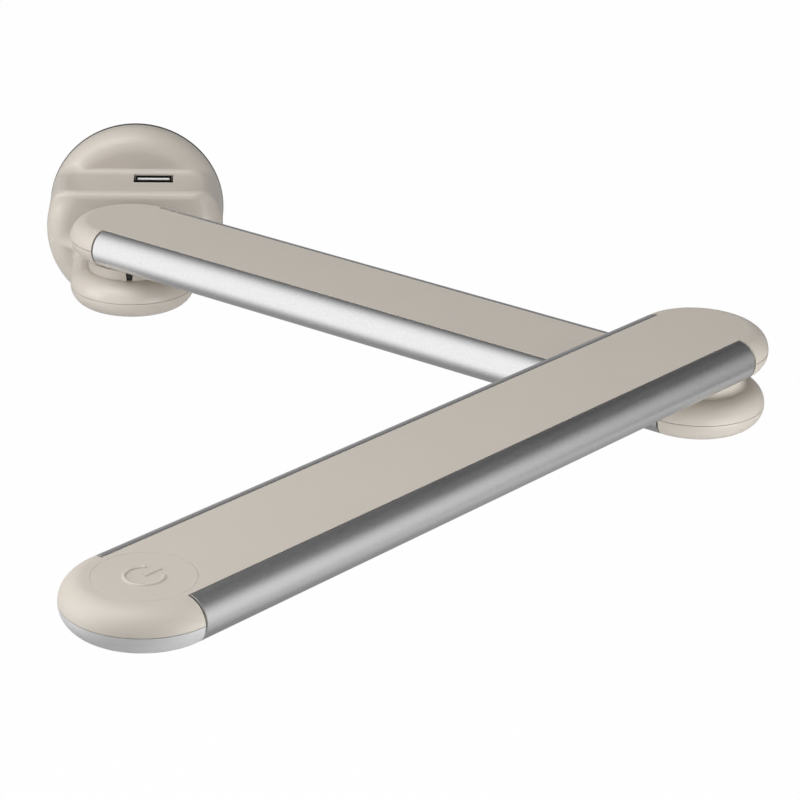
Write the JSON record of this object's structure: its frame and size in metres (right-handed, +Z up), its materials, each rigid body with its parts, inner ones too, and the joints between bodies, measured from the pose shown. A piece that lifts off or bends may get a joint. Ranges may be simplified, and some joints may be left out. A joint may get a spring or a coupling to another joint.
{
  "type": "folding wall lamp",
  "caption": "Flat swing-arm wall lamp: a round base with a charging port carries a lower arm and, above it, a light arm with a diffuser below and a push button at its tip.",
  "frame": {"origin": "centre of the wall plate's back face, on the wall, midway between the two wall screws", "axes": "+Y into the wall, +Z up, +X to the right of someone who faces the wall"},
  "size_m": [0.2253, 0.3826, 0.0625],
  "materials": {
    "shell_plastic": "fine satin moulded texture, warm grey",
    "brushed_rail": "brushed along its length, clear anodised",
    "diffuser_plastic": "frosted, translucent",
    "plate_steel": "powder coated",
    "cast_metal": "die cast, as cast",
    "turned_steel": "turned, zinc plated",
    "screw_steel": "zinc plated",
    "bush_bronze": "sintered bronze",
    "washer_plastic": "natural",
    "stop_rubber": "matt",
    "lead_jacket": "smooth jacket",
    "port_metal": "bright plated",
    "port_plastic": "smooth, white",
    "contact_gold": "gold plated",
    "board_green": "solder mask",
    "board_white": "white solder mask",
    "led_face": "phosphor",
    "capacitor_sleeve": "shrink sleeve",
    "coil_copper": "enamelled wire",
    "terminal_plastic": "moulded",
    "switch_plastic": "moulded"
  },
  "bodies": {
    "wall_base": {"wall_plate": "plate_steel", "base_housing": "shell_plastic", "knuckle_cover": "shell_plastic", "pivot_bracket": "cast_metal", "port_shell": "port_metal", "port_tongue": "port_plastic", "port_contacts": "contact_gold", "supply_board": "board_green", "supply_capacitor": "capacitor_sleeve", "supply_coil": "coil_copper", "terminal_block": "terminal_plastic", "cover_screws": "screw_steel", "knuckle_screws": "screw_steel", "bracket_screws": "screw_steel", "supply_board_screws": "screw_steel", "feed_lead": "lead_jacket", "shoulder_shaft": "turned_steel", "shoulder_collar": "shell_plastic", "collar_stop": "stop_rubber", "shoulder_thrust_washer": "washer_plastic", "shoulder_friction_washer": "bush_bronze", "shoulder_disc_spring": "turned_steel", "shoulder_nut": "turned_steel"},
    "lower_arm": {"lower_arm_core": "cast_metal", "lower_arm_top_shell": "shell_plastic", "lower_arm_bottom_shell": "shell_plastic", "lower_arm_front_rail": "brushed_rail", "lower_arm_rear_rail": "brushed_rail", "lower_arm_screws": "screw_steel", "lower_arm_lead": "lead_jacket", "shoulder_bush": "bush_bronze", "elbow_shaft": "turned_steel", "elbow_collar": "shell_plastic", "elbow_thrust_washer": "washer_plastic", "elbow_friction_washer": "bush_bronze", "elbow_disc_spring": "turned_steel", "elbow_nut": "turned_steel"},
    "light_arm": {"light_arm_core": "cast_metal", "light_arm_top_shell": "shell_plastic", "light_arm_hinge_cover": "shell_plastic", "light_arm_front_rail": "brushed_rail", "light_arm_rear_rail": "brushed_rail", "light_arm_screws": "screw_steel", "light_arm_lead": "lead_jacket", "elbow_bush": "bush_bronze", "diffuser": "diffuser_plastic", "led_board": "board_white", "leds": "led_face", "control_board": "board_green", "control_board_screws": "screw_steel", "lead_connector": "washer_plastic", "tact_switch": "switch_plastic"},
    "button": {"power_button": "shell_plastic"}
  },
  "joints": [
    {"name": "shoulder", "type": "hinge", "parent": "wall_base", "child": "lower_arm", "pos_m": [0, -0.0546, 0.008], "axis": [0, 0, 1], "range_deg": [-140.7, 39.3]},
    {"name": "elbow", "type": "hinge", "parent": "lower_arm", "child": "light_arm", "pos_m": [0.17334, -0.19648, 0.0252], "axis": [0, 0, 1], "range_deg": [-85.2, 94.8]},
    {"name": "button_press", "type": "slide", "parent": "light_arm", "child": "button", "axis": [0, 0, -1], "range_m": [0, 0.0005], "stiffness_N_per_m": 400, "springref_m": -0.001}
  ]
}
